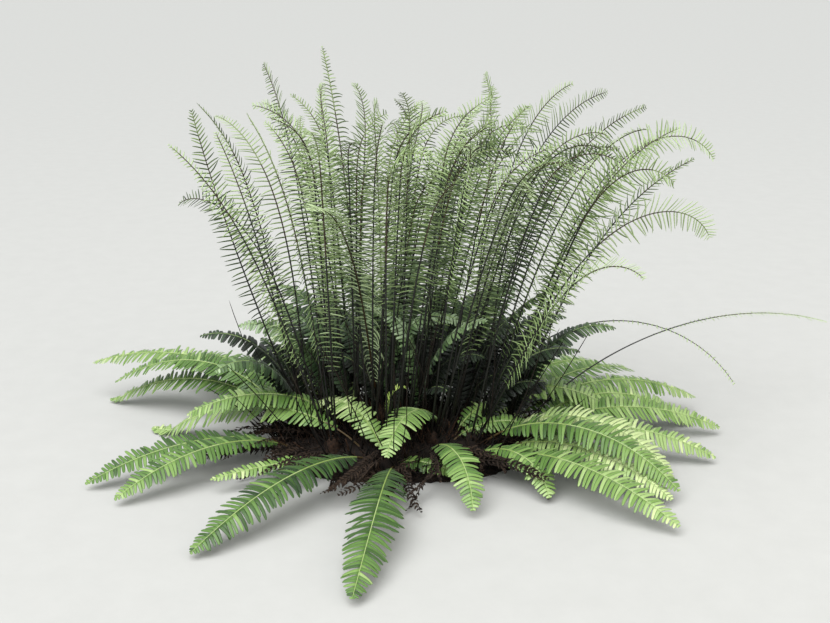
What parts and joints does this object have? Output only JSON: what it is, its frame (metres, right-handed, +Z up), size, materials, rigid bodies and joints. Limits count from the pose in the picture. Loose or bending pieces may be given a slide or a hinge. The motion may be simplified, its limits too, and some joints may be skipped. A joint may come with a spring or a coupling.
{
  "type": "deer fern",
  "caption": "Clump of deer fern: upright narrow spore-bearing fronds with dark stalks stand in a low rosette of broad evergreen fronds, on one rootstock cut flat at ground level.",
  "frame": {"origin": "middle of the flat cut under the rootstock, at ground level", "axes": "+Z up, +X to the right and +Y away from the viewer as the picture shows the clump"},
  "size_m": [1.584, 1.1233, 0.7493],
  "materials": {
    "rootstock": "dark fibrous rootstock",
    "tall_fronds": "blue-green narrow leaflets on dark stalks",
    "broad_fronds": "mid-green satin leaflets with a paler midrib"
  },
  "bodies": {
    "root": {"rootstock": "rootstock", "rosette_frond_01": "broad_fronds", "rosette_frond_02": "broad_fronds", "rosette_frond_03": "broad_fronds", "rosette_frond_04": "broad_fronds", "rosette_frond_05": "broad_fronds", "rosette_frond_06": "broad_fronds", "rosette_frond_07": "broad_fronds", "rosette_frond_08": "broad_fronds", "rosette_frond_09": "broad_fronds", "rosette_frond_10": "broad_fronds", "rosette_frond_11": "broad_fronds", "rosette_frond_12": "broad_fronds", "rosette_frond_13": "broad_fronds", "rosette_frond_14": "broad_fronds", "rosette_frond_15": "broad_fronds", "rosette_frond_16": "broad_fronds", "rosette_frond_17": "broad_fronds", "rosette_frond_18": "broad_fronds", "rosette_frond_19": "broad_fronds", "rosette_frond_20": "broad_fronds", "rosette_frond_21": "broad_fronds", "rosette_frond_22": "broad_fronds", "rosette_frond_23": "broad_fronds", "rosette_frond_24": "broad_fronds", "rosette_frond_25": "broad_fronds", "rosette_frond_26": "broad_fronds", "rosette_frond_27": "broad_fronds", "rosette_frond_28": "broad_fronds", "rosette_frond_29": "broad_fronds", "rosette_frond_30": "broad_fronds", "rosette_frond_31": "broad_fronds", "rosette_frond_32": "broad_fronds", "rosette_frond_33": "broad_fronds", "rosette_frond_34": "broad_fronds", "rosette_frond_35": "broad_fronds", "trailing_frond_01": "tall_fronds", "trailing_frond_02": "tall_fronds", "tuft_01": "tall_fronds", "tuft_02": "tall_fronds", "tuft_03": "tall_fronds", "tuft_04": "tall_fronds", "tuft_05": "tall_fronds", "tuft_06": "tall_fronds", "tuft_07": "tall_fronds", "tuft_08": "tall_fronds", "tuft_09": "tall_fronds", "tuft_10": "tall_fronds", "tuft_11": "tall_fronds", "tuft_12": "tall_fronds", "tuft_13": "tall_fronds", "tuft_14": "tall_fronds", "tuft_15": "tall_fronds", "tuft_16": "tall_fronds", "tuft_17": "tall_fronds", "tuft_18": "tall_fronds", "tuft_19": "tall_fronds", "tuft_20": "tall_fronds", "tuft_21": "tall_fronds", "tuft_22": "tall_fronds"}
  },
  "joints": []
}
